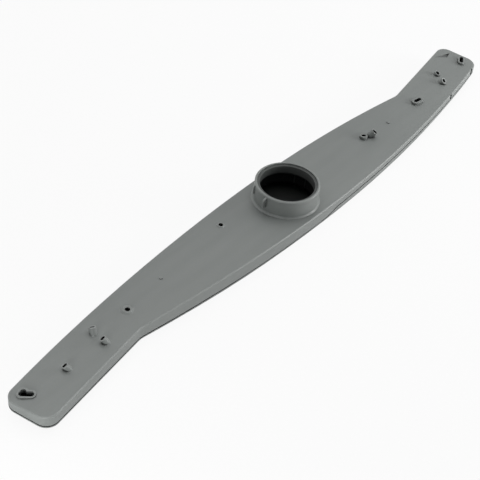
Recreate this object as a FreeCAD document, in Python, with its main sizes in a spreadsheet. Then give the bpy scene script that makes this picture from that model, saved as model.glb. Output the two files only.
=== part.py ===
import FreeCAD, Part
import math
import os
import Sketcher

# Spray arm of a dishwasher: a long flat hollow arm of two welded plastic shells.
# The upper shell carries the jets and the hub collar, the lower shell closes the water way.
# Frame: collar axis on Z, arm along X, Z = 0 on the flat middle of the underside.
# The plan repeats itself after half a turn about the collar axis.

V = FreeCAD.Vector
doc = FreeCAD.newDocument("spray_arm")
dims = doc.addObject("Spreadsheet::Sheet", "dims")

SIZES = [
    # plan of the arm
    ("arm_length", 474.0, "tip to tip"),
    ("mid_width", 51.8, "across the arm at the collar"),
    ("edge_radius", 1154.0, "long curve of each side"),
    ("bend_place", 151.0, "from the collar axis to the bend of a tip"),
    ("tip_angle", 9.5, "of the straight side of a tip to X"),
    ("bend_radius", 14.0, "inside the bend"),
    ("heel_radius", 7.6, "tip corner on the bent side"),
    ("toe_radius", 8.5, "tip corner on the long curved side"),
    # section of the arm
    ("body_thickness", 10.5, "underside to nozzle face on the middle line, at the collar"),
    ("tip_thickness", 7.0, "the same at the end of a tip"),
    ("pitch_angle", 4.3, "of the nozzle face across a tip, up towards its bent side"),
    ("pitch_end", 150.0, "from the collar axis to where the full pitch is reached"),
    ("flat_length", 100.0, "middle stretch of the underside that lies flat"),
    ("face_wall", 2.0, "under the nozzle face"),
    ("side_wall", 2.2, "flanks of both shells"),
    ("floor_wall", 1.6, "floor of the lower shell, and its rim over the underside"),
    ("face_edge_bevel", 0.6, "bevel round the nozzle face"),
    ("foot_edge_bevel", 0.8, "bevel round the underside"),
    # weld seam
    ("skirt_height", 2.8, "extra height of the rim on the long curved side, at the skirt's start"),
    ("skirt_tip_height", 0.5, "extra height of the rim where the skirt's last run-out begins"),
    ("skirt_start", 12.0, "from the collar axis"),
    ("skirt_end", 226.0, "from the collar axis"),
    ("skirt_ramp", 12.0, "length of each run-out of the skirt"),
    ("groove_height", 0.8, "shadow groove over the seam"),
    ("groove_depth", 1.2, "shadow groove over the seam"),
    # hub collar
    ("collar_diameter", 42.4, "outside"),
    ("collar_height", 12.9, "over the nozzle face"),
    ("collar_fillet", 2.0, "at the foot of the collar"),
    ("fillet_sink", 0.25, "end of that rounding under the nozzle face"),
    ("rim_land", 1.4, "width of the collar's top ring"),
    ("rim_round", 0.5, "outer edge of the collar's top ring"),
    ("seal_depth", 1.1, "recess inside the top ring"),
    ("bore_diameter", 36.0, "bearing bore"),
    ("bore_length", 6.0, "bearing bore"),
    ("chamber_diameter", 38.2, "inside the collar below the bore"),
    ("fin_thickness", 1.1, "both fins on the collar"),
    ("key_fin_reach", 3.3, "from the collar's wall"),
    ("side_fin_reach", 1.2, "from the collar's wall"),
    ("fin_gap", 0.9, "from the top of a fin to the top of the collar"),
    ("fin_slope", 0.3, "fall of the top edge of a fin"),
    ("fin_corner", 0.6, "bevelled outer corner of a fin, across"),
    ("fin_shoulder", 1.4, "height of that corner"),
    ("fin_foot", 4.4, "from the nozzle face to the lowest point of a fin, inside the wall"),
    ("fin_lift", 1.2, "rise of the lower edge of a fin"),
    ("key_fin_way", 179.5, "direction of the key fin"),
    ("side_fin_way", 141.0, "direction of the side fin"),
    # guide ribs in the water way
    ("rib_thickness", 1.5, "guide rib"),
    ("rib_start", 23.5, "from the collar axis"),
    ("rib_length", 95.0, "guide rib"),
    ("rib_near_side", 2.2, "first rib from the arm's middle line"),
    ("rib_far_side", 10.2, "second rib from the arm's middle line"),
    ("rib_gap", 0.4, "between a rib and the upper shell, where it is least"),
    # moulding marks
    ("pip_diameter", 2.2, "ejector mark"),
    ("pip_height", 0.5, "ejector mark"),
    ("dent_slope", 12.0, "fall of the dent's floor from its first corner, against the nozzle face"),
    ("notch_depth", 0.9, "notches in the edge of the nozzle face"),
    ("notch_height", 4.8, "from the nozzle face down the flank"),
]

# Each jet stands on the nozzle face at (x, y). Its boss leans from upright by lean degrees
# towards way, and rises by rise along its own axis. The slot lies along slot_way.
JETS = {
    "fan_jet": dict(x=-228.0, y=-6.7, lean=0.0, way=0.0, rise=1.0, across=5.8,
                    slot_length=8.4, slot_width=3.7, slot_way=-48.0),
    "left_outer_jet": dict(x=-200.3, y=-9.4, lean=35.0, way=134.0, rise=3.6, across=4.0,
                           slot_length=2.9, slot_width=1.9, slot_way=-22.0),
    "left_upright_jet": dict(x=-172.1, y=0.3, lean=24.0, way=74.0, rise=4.4, across=4.3,
                             slot_length=2.6, slot_width=1.0, slot_way=-40.0),
    "left_inner_jet": dict(x=-172.2, y=-9.9, lean=33.0, way=133.0, rise=4.0, across=4.0,
                           slot_length=2.8, slot_width=2.0, slot_way=-9.0),
    "right_small_jet": dict(x=90.9, y=2.6, lean=0.0, way=0.0, rise=2.2, across=5.4,
                            slot_length=3.2, slot_width=2.1, slot_way=-43.0),
    "right_leaning_jet": dict(x=95.8, y=1.3, lean=38.0, way=-57.0, rise=5.6, across=4.6,
                              slot_length=3.9, slot_width=2.9, slot_way=-51.0),
    "right_long_jet": dict(x=156.7, y=1.0, lean=0.0, way=0.0, rise=1.9, across=5.8,
                           slot_length=7.3, slot_width=2.9, slot_way=-7.0),
    "right_tilted_jet": dict(x=191.9, y=3.0, lean=42.0, way=-80.0, rise=3.2, across=4.8,
                             slot_length=3.2, slot_width=2.8, slot_way=-59.0),
    "right_pin_jet": dict(x=197.4, y=11.1, lean=29.0, way=-82.0, rise=2.2, across=4.4,
                          slot_length=3.2, slot_width=2.9, slot_way=-56.0),
    "right_tip_jet": dict(x=228.3, y=7.9, lean=0.0, way=0.0, rise=1.6, across=5.2,
                          slot_length=7.9, slot_width=2.7, slot_way=31.0),
}
LONG_BOSSES = ("fan_jet", "right_long_jet", "right_tip_jet")

# Round holes stand in low conical bosses.
CONES = {
    "left_cone_jet": dict(x=-145.8, y=-0.1, foot=8.2, top=5.4, rise=1.1, hole=3.2),
    "middle_cone_jet": dict(x=-50.8, y=11.6, foot=5.8, top=4.4, rise=0.7, hole=3.0),
}
PIPS = {"left_pip": (-112.3, 5.1), "right_pip": (119.3, 1.0)}
DENT = [(217.6, 23.7), (230.0, 19.9), (224.1, 18.3)]
BAY = dict(x=0.1, y=2.4, across=3.2, lip=1.1)
NOTCHES = {"edge_notch": dict(x=185.1, width=2.2), "corner_notch": dict(x=226.0, width=2.6)}


def fill_sheet():
    """Write the driving sizes, one named cell each."""
    rows = [(name, number, note) for name, number, note in SIZES]
    for group in (JETS, CONES, NOTCHES):
        for item, fields in group.items():
            rows += [(item + "_" + field, number, item) for field, number in fields.items()]
    for pip, (x, y) in PIPS.items():
        rows += [(pip + "_x", x, pip), (pip + "_y", y, pip)]
    rows += [("bay_" + field, number, "bay of the fan jet") for field, number in BAY.items()]
    for corner, (x, y) in enumerate(DENT):
        rows += [("dent_corner_%d_x" % corner, x, "dent"), ("dent_corner_%d_y" % corner, y, "dent")]
    for row, (name, number, note) in enumerate(rows, start=1):
        dims.set("A%d" % row, name)
        dims.set("B%d" % row, "%g" % number)
        dims.set("C%d" % row, note)
        dims.setAlias("B%d" % row, name)
    doc.recompute()


fill_sheet()


def num(expression):
    """The number that an expression on the sheet has now."""
    result = dims.evalExpression(expression.replace("dims.", ""))
    return float(getattr(result, "Value", result))


def bind(item, **expressions):
    """Tie properties of a document object to the sheet."""
    for name, expression in expressions.items():
        item.setExpression(name.replace("__", "."), expression)


def origin_plane(body, role):
    return next(plane for plane in body.Origin.OriginFeatures if plane.Role == role)


def new_sketch(name, body=None, plane="XY_Plane"):
    """A sketch on one of a body's own origin planes, or a free one."""
    if body is None:
        return doc.addObject("Sketcher::SketchObject", name)
    sketch = body.newObject("Sketcher::SketchObject", name)
    sketch.AttachmentSupport = [(origin_plane(body, plane), "")]
    sketch.MapMode = "FlatFace"
    return sketch


def constrain(sketch, expression, *definition):
    """Add a constraint whose value comes from an expression."""
    value = num(expression)
    if definition[0] == "Angle":
        value = math.radians(value)
    place = sketch.addConstraint(Sketcher.Constraint(*definition, value))
    sketch.setExpression("Constraints[%d]" % place, expression)


def polygon(sketch, corners):
    """Closed outline with straight sides; each corner is a pair of expressions."""
    points = [V(num(x), num(y), 0) for x, y in corners]
    count = len(points)
    lines = [sketch.addGeometry(Part.LineSegment(points[k], points[(k + 1) % count]))
             for k in range(count)]
    for k in range(count):
        sketch.addConstraint(Sketcher.Constraint("Coincident", lines[k - 1], 2, lines[k], 1))
        constrain(sketch, corners[k][0], "DistanceX", -1, 1, lines[k], 1)
        constrain(sketch, corners[k][1], "DistanceY", -1, 1, lines[k], 1)


def arc_between(centre, start, end):
    """Arc from start to end, anticlockwise about the centre."""
    radius = (start - centre).Length
    first = math.atan2(start.y - centre.y, start.x - centre.x)
    last = math.atan2(end.y - centre.y, end.x - centre.x)
    if last < first:
        last += 2 * math.pi
    return Part.ArcOfCircle(Part.Circle(centre, V(0, 0, 1), radius), first, last)


# The straight side of a tip passes through the point of the long curve at bend_place.
# TIP_LINE is its distance from the collar axis, FROM_CENTRE that from the curve's centre.
BEND_RISE = "sqrt(dims.edge_radius^2 - dims.bend_place^2)"
FROM_CENTRE = "(" + BEND_RISE + " * cos(dims.tip_angle) - dims.bend_place * sin(dims.tip_angle))"
TIP_LINE = "(" + FROM_CENTRE + " - (dims.edge_radius - dims.mid_width / 2) * cos(dims.tip_angle))"


def arm_outline(sketch, inset="0"):
    """Plan of the arm, moved inwards by inset: six edges, and the same six half a turn on."""
    edge = num("dims.edge_radius - " + inset)
    bend = num("dims.bend_radius + " + inset)
    heel = num("dims.heel_radius - " + inset)
    toe = num("dims.toe_radius - " + inset)
    end_x = num("dims.arm_length / 2 - " + inset)
    line_off = num(TIP_LINE + " - " + inset)
    angle = math.radians(num("dims.tip_angle"))
    along = V(math.cos(angle), math.sin(angle), 0)
    across = V(-math.sin(angle), math.cos(angle), 0)

    far_centre = V(0, num("dims.mid_width / 2 - dims.edge_radius"), 0)
    start = across * (line_off + bend) - far_centre
    reach = -start.dot(along) + math.sqrt(start.dot(along) ** 2 - start.dot(start) + (edge + bend) ** 2)
    bend_centre = across * (line_off + bend) + along * reach
    on_far = far_centre + (bend_centre - far_centre) * (edge / (edge + bend))
    on_line = bend_centre - across * bend

    toe_x = end_x - toe
    toe_centre = V(toe_x, -far_centre.y - math.sqrt((edge - toe) ** 2 - toe_x ** 2), 0)
    on_near = -far_centre + (toe_centre + far_centre) * (edge / (edge - toe))
    toe_start = toe_centre + along * toe
    heel_centre = along * (toe_start.dot(along) - heel) + across * (line_off - heel)
    heel_start = heel_centre + across * heel
    heel_end = heel_centre + along * heel

    shapes = []
    for turn in (1, -1):
        shapes += [
            arc_between(far_centre * turn, on_far * turn, -on_near * turn),
            arc_between(bend_centre * turn, on_far * turn, on_line * turn),
            Part.LineSegment(on_line * turn, heel_start * turn),
            arc_between(heel_centre * turn, heel_end * turn, heel_start * turn),
            Part.LineSegment(heel_end * turn, toe_start * turn),
            arc_between(toe_centre * turn, on_near * turn, toe_start * turn),
        ]
    first = sketch.addGeometry(shapes[0])
    for shape in shapes[1:]:
        sketch.addGeometry(shape)

    def tangent(one, one_end, other, other_end):
        sketch.addConstraint(Sketcher.Constraint("Tangent", one, one_end, other, other_end))

    for half, sign in ((0, ""), (1, "-")):
        side, bend_arc, line, heel_arc, end, toe_arc = range(first + 6 * half, first + 6 * half + 6)
        next_side = first + 6 * (1 - half)
        tangent(side, 1, bend_arc, 1)
        tangent(bend_arc, 2, line, 1)
        tangent(line, 2, heel_arc, 2)
        tangent(heel_arc, 1, end, 1)
        tangent(end, 2, toe_arc, 2)
        tangent(toe_arc, 1, next_side, 2)
        constrain(sketch, "dims.edge_radius - " + inset, "Radius", side)
        constrain(sketch, "dims.bend_radius + " + inset, "Radius", bend_arc)
        constrain(sketch, "dims.heel_radius - " + inset, "Radius", heel_arc)
        constrain(sketch, "dims.toe_radius - " + inset, "Radius", toe_arc)
        sketch.addConstraint(Sketcher.Constraint("PointOnObject", side, 3, -2))
        constrain(sketch, sign + "(dims.mid_width / 2 - dims.edge_radius)", "DistanceY", -1, 1, side, 3)
        constrain(sketch, "dims.tip_angle" if half == 0 else "dims.tip_angle + 180", "Angle", line)
        constrain(sketch, FROM_CENTRE + " - " + inset, "Distance", side, 3, line)
        sketch.addConstraint(Sketcher.Constraint("Perpendicular", line, end))
        constrain(sketch, sign + "(dims.arm_length / 2 - dims.toe_radius)", "DistanceX", -1, 1, toe_arc, 3)


# Height of the underside over Z = 0 at a distance from the collar axis, past the flat stretch.
MARGIN = 6
SLOPE = "((dims.body_thickness - dims.tip_thickness) / (dims.arm_length / 2 - dims.flat_length / 2))"


def underside(distance):
    return SLOPE + " * (" + distance + " - dims.flat_length / 2)"


FAR_X = "dims.arm_length / 2 + %d" % MARGIN
FLAT_X = "dims.flat_length / 2"


def level_line(height):
    """Line along the whole arm, height above the underside."""
    tip = underside(FAR_X) + " + " + height
    return [("-(" + FAR_X + ")", tip), ("-" + FLAT_X, height), (FLAT_X, height), (FAR_X, tip)]


def seam_line(extra="0"):
    """The seam on the side where the skirt lies at positive X."""
    low = "(dims.floor_wall + " + extra + ")"
    ramp_end = "dims.skirt_end - dims.skirt_ramp"
    return [
        ("-(" + FAR_X + ")", underside(FAR_X) + " + " + low),
        ("-" + FLAT_X, low),
        ("dims.skirt_start", low),
        ("dims.skirt_start + dims.skirt_ramp", low + " + dims.skirt_height"),
        (ramp_end, underside(ramp_end) + " + " + low + " + dims.skirt_tip_height"),
        ("dims.skirt_end", underside("dims.skirt_end") + " + " + low),
        (FAR_X, underside(FAR_X) + " + " + low),
    ]


# The nozzle face is level across at the collar and turns about the arm's middle line from there,
# one way towards each tip. Its stations lie at equal steps as far as pitch_end.
PITCH_STEPS = 3
BLOCK_HEIGHT = "dims.body_thickness + dims.mid_width * tan(dims.pitch_angle)"


def face_height(x, y):
    """Height of the nozzle face over Z = 0."""
    share = "min(1; max(-1; (" + x + ") / dims.pitch_end))"
    return "(dims.body_thickness + tan(dims.pitch_angle) * sin(90 * " + share + ") * (" + y + "))"


def closed_above(line):
    top = "dims.body_thickness + %d" % MARGIN
    return line + [(line[-1][0], top), (line[0][0], top)]


def closed_below(line):
    bottom = "-%d" % MARGIN
    return line + [(line[-1][0], bottom), (line[0][0], bottom)]


def mirrored(line):
    """The same line on the other side of the arm, half a turn on."""
    return [("-(" + x + ")", z) for x, z in reversed(line)]


def checked(body, feature, grows):
    """A feature has to add or take away material, and leave a valid solid."""
    doc.recompute()
    before = feature.BaseFeature.Shape.Volume if feature.BaseFeature else 0.0
    change = feature.Shape.Volume - before
    if (change > 0) != grows or abs(change) < 1e-3:
        raise RuntimeError("%s changed the volume by %g" % (feature.Name, change))
    body.Tip = feature
    return feature


def pad(body, sketch, name, length):
    feature = body.newObject("PartDesign::Pad", name)
    feature.Profile = sketch
    bind(feature, Length=length)
    return checked(body, feature, True)


def side_cut(body, name, line, sides):
    """Cut along the arm with a profile on the XZ plane, on one side of it or on both."""
    sketch = new_sketch(name + "_profile", body, "XZ_Plane")
    polygon(sketch, line)
    feature = body.newObject("PartDesign::Pocket", name)
    feature.Profile = sketch
    bind(feature, Length="dims.arm_length / (%s)" % ("1" if sides == "both" else "2"))
    feature.Midplane = sides == "both"
    feature.Reversed = sides == "near"
    return checked(body, feature, False)


def seam_cuts(body, name, line, close):
    """The skirt lies at positive X on the near side and at negative X on the far side."""
    side_cut(body, name + "_near", close(line), "near")
    side_cut(body, name + "_far", close(mirrored(line)), "far")


def face_cut(body, name, drop):
    """Cut away all that lies over the nozzle face, or over a face by drop below it."""
    steps = range(-PITCH_STEPS, PITCH_STEPS + 1)
    places = ["-(" + FAR_X + ")"] + ["%d * dims.pitch_end / %d" % (k, PITCH_STEPS) for k in steps] + [FAR_X]
    roof = "dims.body_thickness + dims.collar_height"
    sections = []
    for k, place in enumerate(places):
        sketch = new_sketch("%s_station_%d" % (name, k), body, "YZ_Plane")
        bind(sketch, AttachmentOffset__Base__z=place)
        polygon(sketch, [(side, face_height(place, side) + " - " + drop)
                         for side in ("-dims.mid_width", "dims.mid_width")]
                + [("dims.mid_width", roof), ("-dims.mid_width", roof)])
        sections.append(sketch)
    feature = body.newObject("PartDesign::SubtractiveLoft", name)
    feature.Profile = sections[0]
    feature.Sections = sections[1:]
    return checked(body, feature, False)


def cut_by(body, name, tool):
    feature = body.newObject("PartDesign::Boolean", name)
    feature.Type = "Cut"
    feature.addObjects([tool])
    return checked(body, feature, False)


def outline_pocket(body, name, inset, depth):
    sketch = new_sketch(name + "_plan", body)
    arm_outline(sketch, inset)
    feature = body.newObject("PartDesign::Pocket", name)
    feature.Profile = sketch
    feature.Reversed = True
    bind(feature, Length=depth)
    return checked(body, feature, False)


def bevel(body, name, edges, size):
    """Bevel the edges of the body so far that a test picks."""
    base = body.Tip
    names = ["Edge%d" % (k + 1) for k, edge in enumerate(base.Shape.Edges) if edges(edge)]
    feature = body.newObject("PartDesign::Chamfer", name)
    feature.Base = (base, names)
    bind(feature, Size=size)
    return checked(body, feature, False)


def on_nozzle_face(edge):
    """Test for an edge that lies in the nozzle face from end to end."""
    first, last = edge.ParameterRange
    points = [edge.valueAt(first + (last - first) * share) for share in (0.0, 0.4, 0.7, 1.0)]
    return all(abs(point.z - num(face_height("%g" % point.x, "%g" % point.y))) < 0.2 for point in points)


def seam_groove_ring():
    """Ring of the groove's depth that reaches from below up to the groove's upper edge."""
    body = doc.addObject("PartDesign::Body", "groove_ring")
    plan = new_sketch("groove_plan", body)
    arm_outline(plan)
    pad(body, plan, "groove_block", "dims.body_thickness")
    outline_pocket(body, "groove_core", "dims.groove_depth", "dims.body_thickness")
    seam_cuts(body, "groove_top", seam_line("dims.groove_height"), closed_above)
    return body


def water_core():
    """The hollow under the nozzle face and inside the flanks."""
    body = doc.addObject("PartDesign::Body", "water_core")
    plan = new_sketch("water_plan", body)
    arm_outline(plan, "dims.side_wall")
    pad(body, plan, "water_block", BLOCK_HEIGHT)
    face_cut(body, "water_roof", "dims.face_wall")
    return body


def shell_body():
    """Nozzle face with its flanks, open below, with the hole for the collar."""
    body = doc.addObject("PartDesign::Body", "upper_body")
    plan = new_sketch("upper_plan", body)
    arm_outline(plan)
    pad(body, plan, "upper_block", BLOCK_HEIGHT)
    face_cut(body, "nozzle_face", "0")
    bevel(body, "face_bevel", on_nozzle_face, "dims.face_edge_bevel")
    cut_by(body, "water_way", water_core())
    seam_cuts(body, "upper_seam", seam_line(), closed_below)
    hole = new_sketch("collar_hole_circle", body)
    circle = hole.addGeometry(Part.Circle(V(0, 0, 0), V(0, 0, 1), num("dims.chamber_diameter / 2")))
    hole.addConstraint(Sketcher.Constraint("Coincident", circle, 3, -1, 1))
    constrain(hole, "dims.chamber_diameter / 2", "Radius", circle)
    pocket = body.newObject("PartDesign::Pocket", "collar_hole")
    pocket.Profile = hole
    pocket.Reversed = True
    bind(pocket, Length="dims.body_thickness + %d" % MARGIN)
    checked(body, pocket, False)
    cut_by(body, "seam_groove", seam_groove_ring())
    return body


def collar_body():
    """Turned profile of the collar: top ring, seal recess, bearing bore, wider chamber."""
    body = doc.addObject("PartDesign::Body", "collar_body")
    face = "dims.body_thickness"
    root = face + " - dims.face_wall / 2"
    top = face + " + dims.collar_height"
    outer = "dims.collar_diameter / 2"
    ledge = top + " - dims.seal_depth"
    bore_end = ledge + " - dims.bore_length"
    step = "(dims.chamber_diameter - dims.bore_diameter) / 2"
    corners = [
        (outer, root),
        (outer, top + " - dims.rim_round"),
        (outer + " - dims.rim_round", top),
        (outer + " - dims.rim_land", top),
        (outer + " - dims.rim_land", ledge),
        ("dims.bore_diameter / 2", ledge),
        ("dims.bore_diameter / 2", bore_end),
        ("dims.chamber_diameter / 2", bore_end + " - " + step),
        ("dims.chamber_diameter / 2", root),
    ]
    sketch = new_sketch("collar_profile", body, "XZ_Plane")
    polygon(sketch, corners)
    turned = body.newObject("PartDesign::Revolution", "collar_turned")
    turned.Profile = sketch
    turned.ReferenceAxis = (sketch, ["V_Axis"])
    turned.Angle = 360
    checked(body, turned, True)

    foot = new_sketch("collar_foot_profile", body, "XZ_Plane")
    radius = num("dims.collar_fillet")
    x = num(outer)
    z = num(face + " - dims.fillet_sink")
    arc = foot.addGeometry(arc_between(V(x + radius, z + radius, 0), V(x, z + radius, 0),
                                       V(x + radius, z, 0)))
    level = foot.addGeometry(Part.LineSegment(V(x + radius, z, 0), V(x + radius, z - 1, 0)))
    below = foot.addGeometry(Part.LineSegment(V(x + radius, z - 1, 0), V(x - 1, z - 1, 0)))
    inner = foot.addGeometry(Part.LineSegment(V(x - 1, z - 1, 0), V(x - 1, z + radius, 0)))
    upper = foot.addGeometry(Part.LineSegment(V(x - 1, z + radius, 0), V(x, z + radius, 0)))
    for one, other in ((level, below), (below, inner), (inner, upper)):
        foot.addConstraint(Sketcher.Constraint("Coincident", one, 2, other, 1))
    foot.addConstraint(Sketcher.Constraint("Coincident", arc, 2, level, 1))
    foot.addConstraint(Sketcher.Constraint("Coincident", arc, 1, upper, 2))
    constrain(foot, outer + " + dims.collar_fillet", "DistanceX", -1, 1, arc, 3)
    constrain(foot, face + " + dims.collar_fillet - dims.fillet_sink", "DistanceY", -1, 1, arc, 3)
    constrain(foot, "dims.collar_fillet", "Radius", arc)
    foot.addConstraint(Sketcher.Constraint("Horizontal", arc, 1, arc, 3))
    foot.addConstraint(Sketcher.Constraint("Vertical", arc, 2, arc, 3))
    foot.addConstraint(Sketcher.Constraint("Vertical", level))
    foot.addConstraint(Sketcher.Constraint("Horizontal", below))
    foot.addConstraint(Sketcher.Constraint("Vertical", inner))
    foot.addConstraint(Sketcher.Constraint("Horizontal", upper))
    constrain(foot, "dims.face_wall / 2 - dims.fillet_sink", "DistanceY", level, 2, level, 1)
    constrain(foot, "dims.rim_land / 2", "DistanceX", inner, 2, arc, 1)
    flare = body.newObject("PartDesign::Revolution", "collar_foot")
    flare.Profile = foot
    flare.ReferenceAxis = (foot, ["V_Axis"])
    flare.Angle = 360
    checked(body, flare, True)
    return body


def collar_fin(name):
    """Thin upright fin high on the outside of the collar, clear of the nozzle face."""
    sketch = new_sketch(name + "_profile")
    root = "dims.collar_diameter / 2 - dims.rim_land / 2"
    end = "dims.collar_diameter / 2 + dims.%s_reach" % name
    foot = "dims.body_thickness + dims.fin_foot"
    top = "dims.body_thickness + dims.collar_height - dims.fin_gap"
    polygon(sketch, [
        (root, foot),
        (end, foot + " + dims.fin_lift"),
        (end, top + " - dims.fin_slope - dims.fin_shoulder"),
        (end + " - dims.fin_corner", top + " - dims.fin_slope"),
        (root, top),
    ])
    upright = FreeCAD.Rotation(V(1, 0, 0), 90)
    turn = FreeCAD.Rotation(V(0, 0, 1), num("dims.%s_way" % name))
    sketch.Placement = FreeCAD.Placement(V(0, 0, 0), turn.multiply(upright))
    fin = doc.addObject("Part::Extrusion", name)
    fin.Base = sketch
    fin.DirMode = "Normal"
    fin.Solid = True
    fin.Symmetric = True
    bind(fin, LengthFwd="dims.fin_thickness")
    return fin


def stadium(sketch, length, width, way):
    """Round-ended slot about the sketch's origin."""
    half = num("(" + length + " - " + width + ") / 2")
    radius = num(width + " / 2")
    angle = math.radians(num(way))
    along = V(math.cos(angle), math.sin(angle), 0)
    side = V(-math.sin(angle), math.cos(angle), 0)
    near, far = along * -half, along * half
    lower = sketch.addGeometry(Part.LineSegment(near - side * radius, far - side * radius))
    right = sketch.addGeometry(arc_between(far, far - side * radius, far + side * radius))
    upper = sketch.addGeometry(Part.LineSegment(far + side * radius, near + side * radius))
    left = sketch.addGeometry(arc_between(near, near + side * radius, near - side * radius))
    for one, one_end, other, other_end in ((lower, 2, right, 1), (right, 2, upper, 1),
                                           (upper, 2, left, 1), (left, 2, lower, 1)):
        sketch.addConstraint(Sketcher.Constraint("Tangent", one, one_end, other, other_end))
    sketch.addConstraint(Sketcher.Constraint("Symmetric", right, 3, left, 3, -1, 1))
    constrain(sketch, width + " / 2", "Radius", right)
    constrain(sketch, length + " - " + width, "Distance", left, 3, right, 3)
    constrain(sketch, way, "Angle", lower)


def jet_height(jet):
    return face_height("dims.%s_x" % jet, "dims.%s_y" % jet)


def stand(item, jet):
    """Place a piece of a jet on the nozzle face, leaning as the jet leans."""
    way = math.radians(num("dims.%s_way" % jet))
    axis = V(-math.sin(way), math.cos(way), 0)
    spin = FreeCAD.Rotation(axis, num("dims.%s_lean" % jet))
    item.Placement = FreeCAD.Placement(V(0, 0, 0), spin)
    bind(item, Placement__Base__x="dims.%s_x" % jet, Placement__Base__y="dims.%s_y" % jet,
         Placement__Base__z=jet_height(jet))


def extruded(name, sketch, forward, backward):
    item = doc.addObject("Part::Extrusion", name)
    item.Base = sketch
    item.DirMode = "Normal"
    item.Solid = True
    bind(item, LengthFwd=forward, LengthRev=backward)
    return item


def jet_boss(jet):
    """Boss of a jet, long enough that its whole foot reaches under the nozzle face."""
    across = "dims.%s_across" % jet
    rise = "dims.%s_rise" % jet
    lean = "dims.%s_lean" % jet
    root = "dims.face_wall / cos(" + lean + ") + " + across + " / 2 * tan(" + lean + ")"
    sketch = new_sketch(jet + "_boss_plan")
    if jet in LONG_BOSSES:
        slot = "dims.%s_slot_length - dims.%s_slot_width + %s" % (jet, jet, across)
        stadium(sketch, "(" + slot + ")", across, "dims.%s_slot_way" % jet)
    else:
        circle = sketch.addGeometry(Part.Circle(V(0, 0, 0), V(0, 0, 1), num(across + " / 2")))
        sketch.addConstraint(Sketcher.Constraint("Coincident", circle, 3, -1, 1))
        constrain(sketch, across + " / 2", "Radius", circle)
    stand(sketch, jet)
    return extruded(jet + "_boss", sketch, rise, root)


def trimmed_bosses():
    """All the bosses, cut off level in the middle of the wall under the nozzle face."""
    room = doc.addObject("Part::Box", "boss_room")
    bind(room, Length="dims.arm_length", Width="dims.mid_width", Height="dims.collar_height",
         Placement__Base__x="-dims.arm_length / 2", Placement__Base__y="-dims.mid_width / 2",
         Placement__Base__z="dims.body_thickness - dims.face_wall / 2")
    bosses = doc.addObject("Part::Common", "bosses")
    bosses.Base = group("Part::MultiFuse", "whole_bosses", [jet_boss(jet) for jet in JETS] + [bay_boss()])
    bosses.Tool = room
    return bosses


def jet_slot(jet):
    """Cutter of a jet, from over its boss down into the water way."""
    sketch = new_sketch(jet + "_slot_plan")
    stadium(sketch, "dims.%s_slot_length" % jet, "dims.%s_slot_width" % jet, "dims.%s_slot_way" % jet)
    stand(sketch, jet)
    through = "2 * dims.face_wall / cos(dims.%s_lean)" % jet
    return extruded(jet + "_slot", sketch, "dims.%s_rise + dims.face_wall" % jet, through)


def cylinder(name, radius, height, x, y, z):
    item = doc.addObject("Part::Cylinder", name)
    bind(item, Radius=radius, Height=height, Placement__Base__x=x, Placement__Base__y=y,
         Placement__Base__z=z)
    return item


def cone_boss(jet):
    """Low cone whose foot reaches under the nozzle face by the slant of its side."""
    root = "dims.face_wall / 4"
    slant = "(dims.%s_foot - dims.%s_top) / (2 * dims.%s_rise)" % (jet, jet, jet)
    item = doc.addObject("Part::Cone", jet + "_boss")
    bind(item, Radius1="dims.%s_foot / 2 + %s * %s" % (jet, slant, root), Radius2="dims.%s_top / 2" % jet,
         Height="dims.%s_rise + %s" % (jet, root), Placement__Base__x="dims.%s_x" % jet,
         Placement__Base__y="dims.%s_y" % jet, Placement__Base__z=jet_height(jet) + " - " + root)
    return item


def cone_hole(jet):
    return cylinder(jet + "_hole", "dims.%s_hole / 2" % jet, "3 * dims.face_wall",
                    "dims.%s_x" % jet, "dims.%s_y" % jet, jet_height(jet) + " - 1.5 * dims.face_wall")


def bay_place():
    """The round bay in the edge of the fan jet's opening."""
    return "dims.fan_jet_x + dims.bay_x", "dims.fan_jet_y + dims.bay_y"


def bay_boss():
    """Lip round the bay, as high as the fan jet's own."""
    return cylinder("bay_boss", "dims.bay_across / 2 + dims.bay_lip", "dims.face_wall + dims.fan_jet_rise",
                    *bay_place(), jet_height("fan_jet") + " - dims.face_wall")


def bay_cutter():
    return cylinder("bay", "dims.bay_across / 2", "3 * dims.face_wall", *bay_place(),
                    jet_height("fan_jet") + " - 1.5 * dims.face_wall")


def pip_mark(pip):
    return cylinder(pip, "dims.pip_diameter / 2", "dims.pip_height + dims.face_wall / 2",
                    "dims.%s_x" % pip, "dims.%s_y" % pip, jet_height(pip) + " - dims.face_wall / 2")


def dent_cutter():
    """Three-cornered dent, whose floor falls from its first corner towards the long curved side."""
    sketch = new_sketch("dent_plan")
    polygon(sketch, [("dims.dent_corner_%d_x" % k, "dims.dent_corner_%d_y" % k)
                     for k in range(len(DENT))])
    bind(sketch, Placement__Base__z=BLOCK_HEIGHT)
    prism = extruded("dent_prism", sketch, "dims.face_wall", BLOCK_HEIGHT)
    floor = doc.addObject("Part::Box", "dent_floor")
    side = "dims.mid_width / 2"
    start = "dims.dent_corner_0_y - " + side
    slope = "dims.dent_slope + dims.pitch_angle"
    floor.Placement = FreeCAD.Placement(V(0, 0, 0), FreeCAD.Rotation(V(1, 0, 0), num(slope)))
    bind(floor, Length=side, Width="dims.mid_width", Height=side, Placement__Rotation__Angle=slope,
         Placement__Base__x="dims.dent_corner_0_x - " + side + " / 2", Placement__Base__y=start,
         Placement__Base__z=face_height("dims.dent_corner_0_x", "dims.dent_corner_0_y")
         + " - " + side + " * tan(" + slope + ")")
    dent = doc.addObject("Part::Common", "dent")
    dent.Base = prism
    dent.Tool = floor
    return dent


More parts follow.
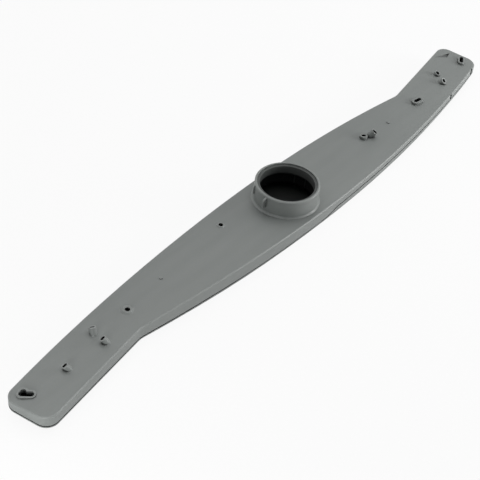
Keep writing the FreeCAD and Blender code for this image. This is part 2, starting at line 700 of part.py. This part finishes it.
def notch_cutter(name):
    """Small upright notch in the edge of the nozzle face, on the long curved side."""
    x = "dims.%s_x" % name
    side = "(dims.edge_radius - dims.mid_width / 2 - sqrt(dims.edge_radius^2 - " + x + "^2))"
    item = doc.addObject("Part::Box", name)
    bind(item, Length="dims.%s_width" % name, Width="2 * dims.notch_depth",
         Height="dims.notch_height + dims.face_wall",
         Placement__Base__x=x + " - dims.%s_width / 2" % name,
         Placement__Base__y=side + " - dims.notch_depth",
         Placement__Base__z=face_height(x, side) + " - dims.notch_height")
    return item


def group(kind, name, items):
    item = doc.addObject(kind, name)
    item.Shapes = items
    return item


def upper_shell():
    """Nozzle face, flanks, collar and bosses are one moulding."""
    solids = [shell_body(), collar_body()]
    solids += [collar_fin(name) for name in ("key_fin", "side_fin")]
    solids.append(trimmed_bosses())
    solids += [cone_boss(jet) for jet in CONES]
    solids += [pip_mark(pip) for pip in PIPS]
    cutters = [jet_slot(jet) for jet in JETS]
    cutters += [cone_hole(jet) for jet in CONES]
    cutters += [bay_cutter(), dent_cutter()]
    cutters += [notch_cutter(notch) for notch in NOTCHES]
    shell = doc.addObject("Part::Cut", "upper_shell")
    shell.Base = group("Part::MultiFuse", "upper_solids", solids)
    shell.Tool = group("Part::MultiFuse", "upper_cutters", cutters)
    shell.Refine = True
    shell.Label = "upper_shell"
    return shell


def guide_ribs(body):
    """Two ribs in each half of the water way, in line with the arm."""
    plan = new_sketch("guide_rib_plan", body)
    for sign in ("", "-"):
        for side in ("dims.rib_near_side", "dims.rib_far_side"):
            start = sign + "(dims.rib_start)"
            end = sign + "(dims.rib_start + dims.rib_length)"
            low = sign + "(" + side + " - dims.rib_thickness / 2)"
            high = sign + "(" + side + " + dims.rib_thickness / 2)"
            polygon(plan, [(start, low), (end, low), (end, high), (start, high)])
    pad(body, plan, "guide_ribs", "dims.body_thickness - dims.face_wall - dims.rib_gap")


def lower_shell():
    """Floor with a rim that meets the upper shell face to face at the seam."""
    body = doc.addObject("PartDesign::Body", "lower_shell")
    plan = new_sketch("lower_plan", body)
    arm_outline(plan)
    pad(body, plan, "lower_block", "dims.body_thickness")
    side_cut(body, "floor_top", closed_above(level_line("dims.floor_wall")), "both")
    rim = new_sketch("rim_plan", body)
    arm_outline(rim)
    arm_outline(rim, "dims.side_wall")
    pad(body, rim, "rim", "dims.body_thickness")
    seam_cuts(body, "lower_seam", seam_line(), closed_above)
    guide_ribs(body)
    side_cut(body, "underside", closed_below(level_line("0")), "both")
    bevel(body, "foot_bevel", on_underside, "dims.foot_edge_bevel")
    body.Label = "lower_shell"
    return body


def on_underside(edge):
    """Test for an outer edge of the underside, flat stretch and rising tips alike."""
    for vertex in edge.Vertexes:
        distance = abs(vertex.X)
        height = max(0.0, num(SLOPE) * (distance - num(FLAT_X)))
        if abs(vertex.Z - height) > 1e-4:
            return False
    first, last = edge.ParameterRange
    middle = edge.valueAt((first + last) / 2)
    crosses = len(edge.Vertexes) == 2 and edge.Vertexes[0].Y * edge.Vertexes[1].Y < 0
    return abs(middle.z - max(0.0, num(SLOPE) * (abs(middle.x) - num(FLAT_X)))) < 1e-3 and \
        not (crosses and abs(middle.x) < num("dims.arm_length / 2") - 1)


def check_document():
    for item in doc.Objects:
        if "Invalid" in item.State or "Error" in item.State:
            raise RuntimeError("%s is in state %s" % (item.Name, item.State))


pieces = [upper_shell(), lower_shell()]
doc.recompute()
check_document()
os.makedirs("parts", exist_ok=True)
for piece in pieces:
    shape = piece.Shape
    if shape.isNull() or not shape.isValid() or len(shape.Solids) != 1:
        raise RuntimeError("%s is not one valid solid: %d" % (piece.Label, len(shape.Solids)))
    shape.exportStep("parts/%s.step" % piece.Label)
    box = shape.BoundBox
    print("%s volume %.1f mm3, box %.2f %.2f %.2f to %.2f %.2f %.2f" % (
        piece.Label, shape.Volume, box.XMin, box.YMin, box.ZMin, box.XMax, box.YMax, box.ZMax))
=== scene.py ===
# %% [markdown]
# # A dishwasher spray arm in grey plastic
#
# The real object is a long, flat, hollow arm that turns under the basket of a dishwasher and
# throws water through small slanted jets. It is moulded in two shells that are welded together.
# This lesson dresses a finished CAD model: the model brings every shape and size, and Blender
# adds the plastic, the light and the camera. The first cell loads the model. The objects that
# come with it stay exactly where they are.

# %% Load the frame
import math

import bpy
from mathutils import Matrix, Vector


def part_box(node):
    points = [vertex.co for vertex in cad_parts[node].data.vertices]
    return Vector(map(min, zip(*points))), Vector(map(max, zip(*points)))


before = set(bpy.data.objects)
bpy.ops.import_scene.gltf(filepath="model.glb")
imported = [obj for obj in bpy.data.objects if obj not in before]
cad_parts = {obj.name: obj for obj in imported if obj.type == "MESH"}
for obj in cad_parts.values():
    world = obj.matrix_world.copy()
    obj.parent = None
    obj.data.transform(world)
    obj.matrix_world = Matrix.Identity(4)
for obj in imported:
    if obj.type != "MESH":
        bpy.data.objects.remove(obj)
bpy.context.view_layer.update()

MM = 0.001


# %% [markdown]
# ## Two shells
#
# Blender works in metres here, and the details of a moulded part are a few tenths of a
# millimetre. Writing them in millimetres and converting once keeps the numbers readable. The
# upper shell carries the jets and the hub collar, and the lower one is the arm's floor. Along the
# middle line of the arm the nozzle face lies 10.5 mm above the table, and the camera is placed
# from that height.

# %% Name the shells
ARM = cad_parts["upper_shell"]
FLOOR_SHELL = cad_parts["lower_shell"]
NOZZLE_FACE = 10.5 * MM

low_corner, high_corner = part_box("upper_shell")
print("arm length in mm:", round((high_corner.x - low_corner.x) / MM, 1))

# %% [markdown]
# ## Shader maths as plain expressions
#
# A procedural material is a network of small nodes, and building one by hand takes many lines.
# One could also click it together in the editor, but then nobody can read it. Here a small class
# wraps an output socket and gives it the usual operators, so that `1 - mask * 0.5` adds the Math
# nodes by itself. Every other node comes from one method.

# %% Wrap sockets so that expressions build nodes
class Wire:
    """An output socket that can be calculated with."""

    def __init__(self, graph, socket):
        self.graph = graph
        self.socket = socket

    def maths(self, operation, *others):
        """One Math node, fed with this wire first."""
        values = dict(enumerate((self,) + others))
        return self.graph.node("ShaderNodeMath", {"operation": operation}, values)

    def __add__(self, other):
        return self.maths("ADD", other)

    def __mul__(self, other):
        return self.maths("MULTIPLY", other)

    def __sub__(self, other):
        return self.maths("SUBTRACT", other)

    def __rsub__(self, other):
        return self.graph.node("ShaderNodeMath", {"operation": "SUBTRACT"}, {0: other, 1: self})

    __radd__ = __add__
    __rmul__ = __mul__


class Graph:
    """The node tree of one material or world, emptied and ready to fill."""

    def __init__(self, owner):
        owner.use_nodes = True
        self.tree = owner.node_tree
        self.tree.nodes.clear()

    def node(self, kind, settings=None, values=None, out=0):
        """Add a node: first its settings, then the values or wires of its inputs."""
        node = self.tree.nodes.new(kind)
        for name, setting in (settings or {}).items():
            if name == "stops":
                self.fill_ramp(node.color_ramp, setting)
            else:
                setattr(node, name, setting)
        for name, value in (values or {}).items():
            if isinstance(value, Wire):
                self.tree.links.new(value.socket, node.inputs[name])
            else:
                node.inputs[name].default_value = value
        return Wire(self, node.outputs[out]) if len(node.outputs) else None

    @staticmethod
    def fill_ramp(ramp, stops):
        """Give a ramp its grey stops, each a place and a level."""
        while len(ramp.elements) < len(stops):
            ramp.elements.new(1.0)
        for element, (place, level) in zip(ramp.elements, stops):
            element.position = place
            element.color = (level, level, level, 1.0)

    def blend(self, factor, first, second):
        """Mix two colours."""
        colours = {0: factor, 6: first, 7: second}
        return self.node("ShaderNodeMix", {"data_type": "RGBA"}, colours, out=2)


print("shader maths is ready")

# %% [markdown]
# ## Where a pattern sits
#
# A pattern that is wrapped on an object needs coordinates. Object coordinates are in metres and
# stay with the piece when it is turned or seen from elsewhere. Stretching them along the arm
# turns round blobs into the long streaks that molten plastic leaves when it flows to the tips.

# %% Noise in millimetres
def noise(graph, size_mm, detail=2.0, roughness=0.5, stretch=1.0, shift=0.0):
    """Soft noise of about size_mm, drawn out along the arm by stretch; mean near 0.5."""
    place = graph.node("ShaderNodeTexCoord", out="Object")
    scale = 1.0 / (size_mm * MM)
    mapped = graph.node("ShaderNodeMapping", None, {
        "Vector": place,
        "Location": (shift, shift, shift),
        "Scale": (scale / stretch, scale, scale),
    })
    return graph.node("ShaderNodeTexNoise", None, {
        "Vector": mapped, "Scale": 1.0, "Detail": detail, "Roughness": roughness})


def ramp(wire, *stops):
    """Reshape a value from 0 to 1 by stops of (place, level)."""
    return wire.graph.node("ShaderNodeValToRGB", {"stops": stops}, {0: wire})


print("noise and ramps are ready")

# %% [markdown]
# ## Greys as a display shows them
#
# Shaders calculate with linear values, while pictures and paint programs name a grey by its
# display level from 0 to 255. Typing linear values would work, but 0.19 tells nobody that it is a
# middle grey. So the greys are written as display levels, and the usual display curve turns them
# into linear values.

# %% Name the greys
def linear(level):
    """A display level from 0 to 255 as a linear value, by the usual display curve."""
    share = level / 255
    return share / 12.92 if share <= 0.04045 else ((share + 0.055) / 1.055) ** 2.4


def colour(red, green, blue):
    """A colour for a socket, from three display levels."""
    return (linear(red), linear(green), linear(blue), 1.0)


GREY = colour(116, 120, 118)
PALE_GREY = colour(134, 137, 135)
# The paler grey of the painted highlight along edges.
EDGE_GREY = colour(150, 153, 151)
DARK_GREY = colour(100, 104, 103)
# The black of the painted shade in the hub, the dent and narrow places.
BLACK_GREY = colour(8, 9, 9)
print("display level 120 is linear", round(linear(120), 2))

# %% [markdown]
# ## The grey moulded plastic
#
# Up close the arm is not one grey. The face carries faint streaks in the direction in which the
# plastic flowed, cloudy patches a few centimetres wide and a spark-eroded grain that takes the
# shine off. Its edges get a painted highlight, a paler grey that stands in for the light that
# rounded edges catch. A photograph of plastic would give the same look from one side only.
# Noise in object coordinates gives it on every side.
#
# Moulds have no sharp edges, so the shading of every edge is rounded by a third of a millimetre.
# The Bevel node does that without new faces. A second one, twice as wide, finds the places near
# an edge that get the painted highlight.

# %% Shade the bare plastic
# Sizes of the patterns in millimetres, how far two of them are drawn out, and each one's share.
STREAK, CLOUD, SPECKLE, SPARK = 9.0, 38.0, 0.9, 0.35
STREAK_STRETCH, CLOUD_STRETCH = 9.0, 2.5
STREAK_SHARE, CLOUD_SHARE, SPECKLE_SHARE = 0.35, 0.45, 0.20
# Where the pattern turns from the darker to the paler grey, and how far those leave the plain one.
TONE_LOW, TONE_HIGH = 0.38, 0.62
DARK_TINT, PALE_TINT = 0.20, 0.25
# How far two normals part where an edge gets the full painted highlight, and how much paler it is
# then.
HIGHLIGHT_BEND, HIGHLIGHT_PALE = 0.12, 0.4
SATIN, PLASTIC_IOR = 0.40, 1.49


def edge_highlight_mask(graph, radius_mm):
    """The painted highlight: 1 on a sharp edge, 0 on even faces, and a soft change within about
    radius_mm of the edge.
    """
    wide_rounding = graph.node("ShaderNodeBevel", {"samples": 6}, {"Radius": radius_mm * MM})
    plain = graph.node("ShaderNodeNewGeometry", out="Normal")
    facing = graph.node(
        "ShaderNodeVectorMath", {"operation": "DOT_PRODUCT"}, {0: wide_rounding, 1: plain}, out="Value")
    return ramp(1 - facing, (0.0, 0.0), (HIGHLIGHT_BEND, 1.0))


def moulded_plastic(graph, edge_radius_mm, grain_mm):
    """The shader of semi-matt plastic; grain_mm is the height of its texture."""
    streaks = noise(graph, STREAK, detail=3.0, stretch=STREAK_STRETCH)
    clouds = noise(graph, CLOUD, stretch=CLOUD_STRETCH, shift=3.0)
    speckle = noise(graph, SPECKLE, shift=7.0)
    spark = noise(graph, SPARK, detail=3.0, roughness=0.6, shift=11.0)
    # Painted highlight: a paler grey along edges stands in for the light that rounded edges catch.
    edge_highlight = edge_highlight_mask(graph, 2.0 * edge_radius_mm)

    pattern = streaks * STREAK_SHARE + clouds * CLOUD_SHARE + speckle * SPECKLE_SHARE
    darker = graph.blend(1 - DARK_TINT, DARK_GREY, GREY)
    paler = graph.blend(PALE_TINT, GREY, PALE_GREY)
    body = graph.blend(ramp(pattern, (TONE_LOW, 0.0), (TONE_HIGH, 1.0)), darker, paler)

    rounded = graph.node("ShaderNodeBevel", {"samples": 6}, {"Radius": edge_radius_mm * MM})
    grain = graph.node("ShaderNodeBump", None, {
        "Strength": 0.5, "Distance": grain_mm * MM, "Height": spark, "Normal": rounded})
    return graph.node("ShaderNodeBsdfPrincipled", None, {
        "Base Color": graph.blend(edge_highlight * HIGHLIGHT_PALE, body, EDGE_GREY),
        "Roughness": SATIN + speckle * 0.10 + clouds * 0.08 - edge_highlight * 0.05,
        "IOR": PLASTIC_IOR,
        "Normal": grain,
    })


print("patterns in mm:", STREAK, CLOUD, SPECKLE, SPARK)

# %% [markdown]
# ## Limits in object coordinates
#
# A painted shade, a dark shader where little light reaches, lies in some places of the arm and
# not in others. One could paint that by hand, or cut the surface into zones. Here a place is
# simply tested against the piece's own coordinates: the Map Range node turns a coordinate into
# 0 on one side of a limit and 1 on the other, with a soft step between them, and products of
# such steps make boxes, cylinders and prisms.

# %% Test a place against limits
def place_mm(graph):
    """Object coordinates in millimetres, one wire each for X, Y and Z."""
    place = graph.node("ShaderNodeTexCoord", out="Object")
    parts = [graph.node("ShaderNodeSeparateXYZ", None, {0: place}, out=axis) for axis in "XYZ"]
    return [part * (1 / MM) for part in parts]


def fade(wire, start, end, first=0.0, last=1.0):
    """first on the near side of start, last beyond end, and a straight slope between them."""
    limits = {0: wire, 1: start, 2: end, 3: first, 4: last}
    return wire.graph.node("ShaderNodeMapRange", None, limits)


def above(wire, limit, soft):
    """1 from the limit upwards, and 0 further than soft below it."""
    return fade(wire, limit - soft, limit)


def below(wire, limit, soft):
    """1 up to the limit, and 0 further than soft above it."""
    return 1 - fade(wire, limit, limit + soft)


def between(wire, low, high, soft):
    """1 from low to high, and 0 further than soft outside."""
    return above(wire, low, soft) * below(wire, high, soft)


print("limits are ready")

# %% [markdown]
# ## Painted shade inside the hub
#
# Little light gets into the hub, so it is nearly black inside, and that shade is painted on as a
# black shader over the plastic. The bore at the top, in which the machine's hub turns, gets less
# of it than the chamber under it. Two thin upright lines on the wall get a little less. A node
# that looks for narrow places would miss this shade, because the hub is wide, so limits say
# where it lies. They reach into the water way at the hub's foot, and no bare plastic shines out
# of it.

# %% Painted shade in the hub
# The hub in millimetres: the radius of its wall, the ledge under its rim, the bore's lower end.
HUB_WALL, LEDGE, BORE_END = 19.3, 22.2, 16.3
# The water way at its foot: half its width, half the length with painted shade, its floor and its
# roof.
WAY_HALF, WAY_END, FLOOR_TOP, WAY_TOP = 23.2, 60.0, 1.5, 8.6
# The share of painted shade on the bore and on the floor; the chamber between them is painted all
# black.
BORE_SHADE, FLOOR_SHADE = 0.60, 0.90
# The thin upright lines with lighter painted shade: their angles about the collar's axis in
# degrees, half their width, their least distance from the axis, their lower end, and the share
# of painted shade that they take away.
LINE_ANGLES = (21.0, -3.0)
LINE_HALF, LINE_REACH, LINE_LOW, LINE_LIFT = 0.3, 17.0, 5.0, 0.14


def paler_lines(x, y, z):
    """1 on two thin upright lines on the wall, where the painted shade is a little lighter."""
    lines = 0.0
    for angle in LINE_ANGLES:
        along_x, along_y = math.cos(math.radians(angle)), math.sin(math.radians(angle))
        across = y * along_x - x * along_y
        outward = x * along_x + y * along_y
        line = between(across, -LINE_HALF, LINE_HALF, soft=0.3)
        lines = line * above(outward, LINE_REACH, soft=0.5) + lines
    return lines * between(z, LINE_LOW, BORE_END, soft=1.0)


def hub_painted_shade(x, y, z):
    """The share of painted shade inside the hub and in the water way at its foot, and 0 elsewhere.
    """
    reach = (x * x + y * y).maths("SQRT")
    well = below(reach, HUB_WALL, soft=0.3) * between(z, FLOOR_TOP, LEDGE, soft=1.0)
    way = between(y, -WAY_HALF, WAY_HALF, soft=0.5) * between(x, -WAY_END, WAY_END, soft=1.0)
    way = way * between(z, FLOOR_TOP, WAY_TOP, soft=0.3)
    on_bore = fade(z, BORE_END + 1.0, BORE_END, first=BORE_SHADE)
    on_floor = fade(z, FLOOR_TOP + 0.5, FLOOR_TOP + 2.0, first=FLOOR_SHADE)
    lifted = 1 - paler_lines(x, y, z) * LINE_LIFT
    return well.maths("MAXIMUM", way) * on_bore * on_floor * lifted


print("the bore ends", BORE_END, "mm above the underside; below that the film is full")

# %% [markdown]
# ## Painted shade in the dent and in narrow places
#
# The wedge-shaped dent by the far tip is too shallow to count as a narrow place, but it lies in
# shade too, and that shade is painted. Its three sides, seen from above, are the limits of the
# painted shade there.
#
# Slots, the groove along the seam and other narrow places get painted shade wherever they are,
# as a dark shader where little light reaches. The Ambient Occlusion node finds them, because
# little of their surroundings is open. It would also find the underside and the arm's foot, which
# lie close to the table, so surfaces that face down and the lowest two millimetres are left out.

# %% Painted shade in the dent and in narrow places
# The corners of the dent in millimetres, a height between its floor and the seam, the distances
# outside and inside its sides between which the painted shade sets in, and its share of painted
# shade.
DENT = ((217.6, 23.7), (224.1, 18.3), (230.0, 19.9))
DENT_LOW, DENT_SIDE, DENT_SHADE = 6.0, (-0.7, 0.1), 0.40
# How far in millimetres the node looks around, and the open share at which the painted shade is
# full or gone.
LOOK_AROUND, NARROW, OPEN = 6.0, 0.45, 0.64
# The height in millimetres from which painted shade counts. The upward part of the normal at which
# a surface counts as facing down, without painted shade, and the one at which it counts as facing
# out.
FOOT = 2.4
FACES_DOWN, FACES_OUT = -0.7, -0.3


def dent_painted_shade(x, y, z):
    """The share of painted shade on the walls and floor of the dent, which lies above the seam."""
    inside = above(z, DENT_LOW, soft=0.5)
    for (x0, y0), (x1, y1) in zip(DENT, DENT[1:] + DENT[:1]):
        length = math.hypot(x1 - x0, y1 - y0)
        distance = (y - y0) * ((x1 - x0) / length) - (x - x0) * ((y1 - y0) / length)
        inside = inside * fade(distance, *DENT_SIDE)
    return inside * DENT_SHADE


def narrow_painted_shade(graph, z):
    """The share of painted shade in slots, in the groove and in other narrow places."""
    openness = graph.node(
        "ShaderNodeAmbientOcclusion", {"samples": 8}, {"Distance": LOOK_AROUND * MM}, out="AO")
    normal = graph.node("ShaderNodeNewGeometry", out="True Normal")
    upward = graph.node("ShaderNodeSeparateXYZ", None, {0: normal}, out="Z")
    narrow = ramp(openness, (NARROW, 1.0), (OPEN, 0.0))
    return narrow * above(z, FOOT, soft=1.0) * fade(upward, FACES_DOWN, FACES_OUT)


print("dent corners in mm:", DENT)

# %% [markdown]
# ## Painted shade over plastic
#
# The painted shade is dull and black and hides the plastic under it, so it is a shader of its own,
# and a Mix Shader lays it over the plastic. Darkening the base colour alone would leave the
# shine of the plastic on it. Both shells are the same plastic, and only the upper one's edges are
# a little rounder.

# %% Dress both shells
GRAIN = 0.02


def grey_plastic(name, edge_radius_mm):
    """Moulded plastic with painted shade in the hub, in the dent and in narrow places."""
    material = bpy.data.materials.new(name)
    graph = Graph(material)
    x, y, z = place_mm(graph)
    # The share of painted shade, from the narrow places, the hub and the dent.
    share = narrow_painted_shade(graph, z).maths("MAXIMUM", hub_painted_shade(x, y, z))
    share = share.maths("MAXIMUM", dent_painted_shade(x, y, z))
    plastic = moulded_plastic(graph, edge_radius_mm, GRAIN)
    # The painted shade: a dull black shader laid over the plastic where shade falls.
    painted_shade = graph.node("ShaderNodeBsdfPrincipled", None, {
        "Base Color": BLACK_GREY, "Roughness": 0.9, "Specular IOR Level": 0.1})
    surface = graph.node("ShaderNodeMixShader", None, {0: share, 1: plastic, 2: painted_shade})
    graph.node("ShaderNodeOutputMaterial", None, {"Surface": surface})
    return material


plastics = {
    ARM: grey_plastic("upper_grey_plastic", 0.35),
    FLOOR_SHELL: grey_plastic("lower_grey_plastic", 0.30),
}
for node, material in plastics.items():
    node.material_slots[0].material = material
    print(node.name, "wears", material.name, "of", len(material.node_tree.nodes), "nodes")

# %% [markdown]
# ## The camera
#
# The picture was taken from high on one side and from well under a metre away, so the near tip
# comes out half as large again as the far one. The angles below were fitted to the outline and
# to the round collar, whose ellipse tells how steeply the camera looks down. Azimuth 0 looks
# along +Y. The matrix is written out, because a camera that merely tracks a point can't take the
# small roll of the picture.

# %% Set up the camera
AZIMUTH, ELEVATION, ROLL = (math.radians(angle) for angle in (-53.882, 41.292, 6.293))
PHOTO_PIXELS, FOCAL_PIXELS = 480, 1147.0
SENSOR_MM = 36.0
NEAREST, FURTHEST = 0.05, 20.0
# Where the middle of the nozzle face lies from the camera, in millimetres: right, down, forward.
OFFSET_MM = Vector((29.49, -27.53, 744.17))


def photo_camera():
    """A camera whose axes are the rows of a rotation: right, down and forward."""
    level = math.cos(ELEVATION)
    forward = Vector((-math.sin(AZIMUTH) * level, math.cos(AZIMUTH) * level, -math.sin(ELEVATION)))
    right = Vector((math.cos(AZIMUTH), math.sin(AZIMUTH), 0))
    rows = Matrix((right, forward.cross(right), forward))
    rows = Matrix.Rotation(ROLL, 3, "Z") @ rows
    data = bpy.data.cameras.new("photo_camera")
    data.sensor_width = SENSOR_MM
    data.lens = SENSOR_MM * FOCAL_PIXELS / PHOTO_PIXELS
    data.clip_start, data.clip_end = NEAREST, FURTHEST
    camera = bpy.data.objects.new("photo_camera", data)
    bpy.context.scene.collection.objects.link(camera)
    place = -(rows.transposed() @ OFFSET_MM) * MM + Vector((0, 0, NOZZLE_FACE))
    turn = Matrix((rows[0], -rows[1], -rows[2])).transposed()
    camera.matrix_world = Matrix.Translation(place) @ turn.to_4x4()
    return camera


bpy.context.scene.camera = photo_camera()
print("camera at mm", [round(c / MM, 1) for c in bpy.context.scene.camera.matrix_world.translation])

# %% [markdown]
# ## Light
#
# Product pictures of grey parts are lit by large soft boxes over a white table. One sun lamp
# would be simpler, but its shadows are hard and each side gets one even tone. Three large soft
# boxes stand above and behind, so the side of the collar that faces the camera lies in its own
# shade. The flanks and the near end wall are brighter than the face, and three smaller lamps that
# stand low do that: they graze the face and meet the walls squarely.

# %% Hang the lamps
def soft_box(name, place, size, watts, target=(0, 0, 0)):
    """A square lamp at place that looks at target; lengths are in metres."""
    data = bpy.data.lights.new(name, "AREA")
    data.shape = "SQUARE"
    data.size = size
    data.energy = watts
    lamp = bpy.data.objects.new(name, data)
    bpy.context.scene.collection.objects.link(lamp)
    lamp.location = place
    lamp.rotation_euler = (Vector(target) - Vector(place)).to_track_quat("-Z", "Y").to_euler()


soft_box("top_soft_box", (0.0, 0.0, 1.3), 1.6, 8.0)
soft_box("back_soft_box", (0.0, 1.13, 0.65), 1.6, 5.8)
soft_box("far_soft_box", (0.48, 0.08, 1.21), 1.2, 3.4)
soft_box("right_low_box", (0.64, -0.72, 0.16), 0.4, 6.3, target=(0.17, 0, 0))
soft_box("far_low_box", (0.54, -0.32, 0.12), 0.5, 1.5, target=(0.22, 0, 0))
soft_box("near_low_box", (-0.42, -0.10, 0.06), 0.12, 0.47, target=(-0.235, -0.02, 0))

# %% [markdown]
# ## Table and backdrop
#
# The arm lies on a white table that fills the whole picture. A table lit until it is white would
# throw far too much light on the arm. So the table glows white for the camera and in reflections,
# and stays a pale surface for all other light. A tenth of that surface shows through the glow,
# which is enough for the soft shadow under the arm. The Light Path node tells the rays apart.

# %% Lay the table and set the backdrop
WHITE = (1.0, 1.0, 1.0, 1.0)
TABLE_TONES = (0.80, 0.80, 0.80, 1.0), (0.84, 0.84, 0.84, 1.0)
TABLE_HALF = 3.0
TABLE_DROP = 0.02 * MM
SHADOW_SHARE = 0.10
ROOM_LIGHT = 0.03


def backdrop_rays(graph):
    """1 where the camera, a reflection or a view through something meets the backdrop."""
    rays = ("Is Camera Ray", "Is Glossy Ray", "Is Transmission Ray")
    camera, glossy, through = (graph.node("ShaderNodeLightPath", out=ray) for ray in rays)
    return camera.maths("MAXIMUM", glossy).maths("MAXIMUM", through)


def pale_table():
    """A pale matt surface with a fine fibre, under a white glow."""
    material = bpy.data.materials.new("pale_table")
    graph = Graph(material)
    fibre = ramp(noise(graph, 2.0), (0.4, 0.0), (0.6, 1.0))
    matt = graph.node("ShaderNodeBsdfDiffuse", None, {"Color": graph.blend(fibre, *TABLE_TONES)})
    glow = graph.node("ShaderNodeEmission", None, {"Color": WHITE, "Strength": 1.0})
    share = backdrop_rays(graph) * (1 - SHADOW_SHARE)
    both = graph.node("ShaderNodeMixShader", None, {0: share, 1: matt, 2: glow})
    graph.node("ShaderNodeOutputMaterial", None, {"Surface": both})
    return material


def table_floor():
    """One large square, a hair under the arm."""
    mesh = bpy.data.meshes.new("table_floor")
    signs = ((-1, -1), (1, -1), (1, 1), (-1, 1))
    corners = [(x * TABLE_HALF, y * TABLE_HALF, -TABLE_DROP) for x, y in signs]
    mesh.from_pydata(corners, [], [(0, 1, 2, 3)])
    mesh.materials.append(pale_table())
    floor = bpy.data.objects.new("table_floor", mesh)
    bpy.context.scene.collection.objects.link(floor)


def studio_world():
    """Even pale light, and plain white where the camera or a reflection looks past the table."""
    world = bpy.data.worlds.new("studio_world")
    bpy.context.scene.world = world
    graph = Graph(world)
    room = graph.node("ShaderNodeBackground", None, {"Color": WHITE, "Strength": ROOM_LIGHT})
    backdrop = graph.node("ShaderNodeBackground", None, {"Color": WHITE, "Strength": 1.0})
    both = graph.node("ShaderNodeMixShader", None, {0: backdrop_rays(graph), 1: room, 2: backdrop})
    graph.node("ShaderNodeOutputWorld", None, {"Surface": both})


table_floor()
studio_world()
bpy.context.scene.view_settings.view_transform = "Standard"
print("the table is", 2 * TABLE_HALF, "metres wide")
